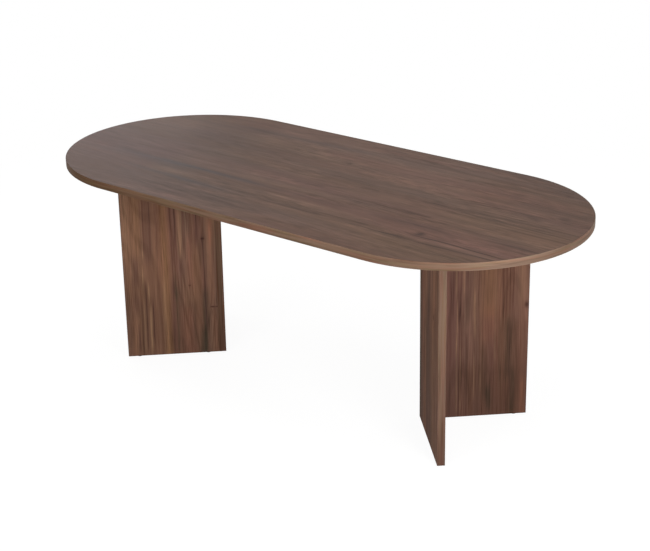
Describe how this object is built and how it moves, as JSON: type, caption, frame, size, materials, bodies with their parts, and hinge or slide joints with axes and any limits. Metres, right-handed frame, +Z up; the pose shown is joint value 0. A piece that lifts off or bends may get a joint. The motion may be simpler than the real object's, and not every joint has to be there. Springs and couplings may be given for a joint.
{
  "type": "dining table",
  "caption": "Dining table with a racetrack-shaped wood-grain top on V-shaped legs of upright panels.",
  "frame": {"origin": "on the floor, under the centre of the top", "axes": "+X along the table, +Y across it, +Z up"},
  "size_m": [1.9996, 0.9, 0.75],
  "materials": {
    "walnut_top": "matt wood-grain decor on particle board",
    "walnut_leg": "matt wood-grain decor on particle board",
    "edge_band": "matt wood-grain ABS edging",
    "cam_zinc": "die-cast zinc, as cast",
    "bolt_steel": "zinc-plated",
    "beech": "plain fluted beech",
    "cap_plastic": "fine matt",
    "glide_plastic": "smooth matt"
  },
  "bodies": {
    "root": {"top_panel": "walnut_top", "top_edge_band": "edge_band", "left_through_panel": "walnut_leg", "left_butt_panel": "walnut_leg", "left_through_corner_band": "edge_band", "left_through_end_band": "edge_band", "left_butt_end_band": "edge_band", "left_through_foot_band": "edge_band", "left_butt_foot_band": "edge_band", "left_corner_cams": "cam_zinc", "left_corner_cam_bolts": "bolt_steel", "left_corner_dowels": "beech", "left_top_cams": "cam_zinc", "left_top_cam_bolts": "bolt_steel", "left_top_dowels": "beech", "left_cam_caps": "cap_plastic", "left_glides": "glide_plastic", "left_glide_nails": "bolt_steel", "right_through_panel": "walnut_leg", "right_butt_panel": "walnut_leg", "right_through_corner_band": "edge_band", "right_through_end_band": "edge_band", "right_butt_end_band": "edge_band", "right_through_foot_band": "edge_band", "right_butt_foot_band": "edge_band", "right_corner_cams": "cam_zinc", "right_corner_cam_bolts": "bolt_steel", "right_corner_dowels": "beech", "right_top_cams": "cam_zinc", "right_top_cam_bolts": "bolt_steel", "right_top_dowels": "beech", "right_cam_caps": "cap_plastic", "right_glides": "glide_plastic", "right_glide_nails": "bolt_steel"}
  },
  "joints": []
}
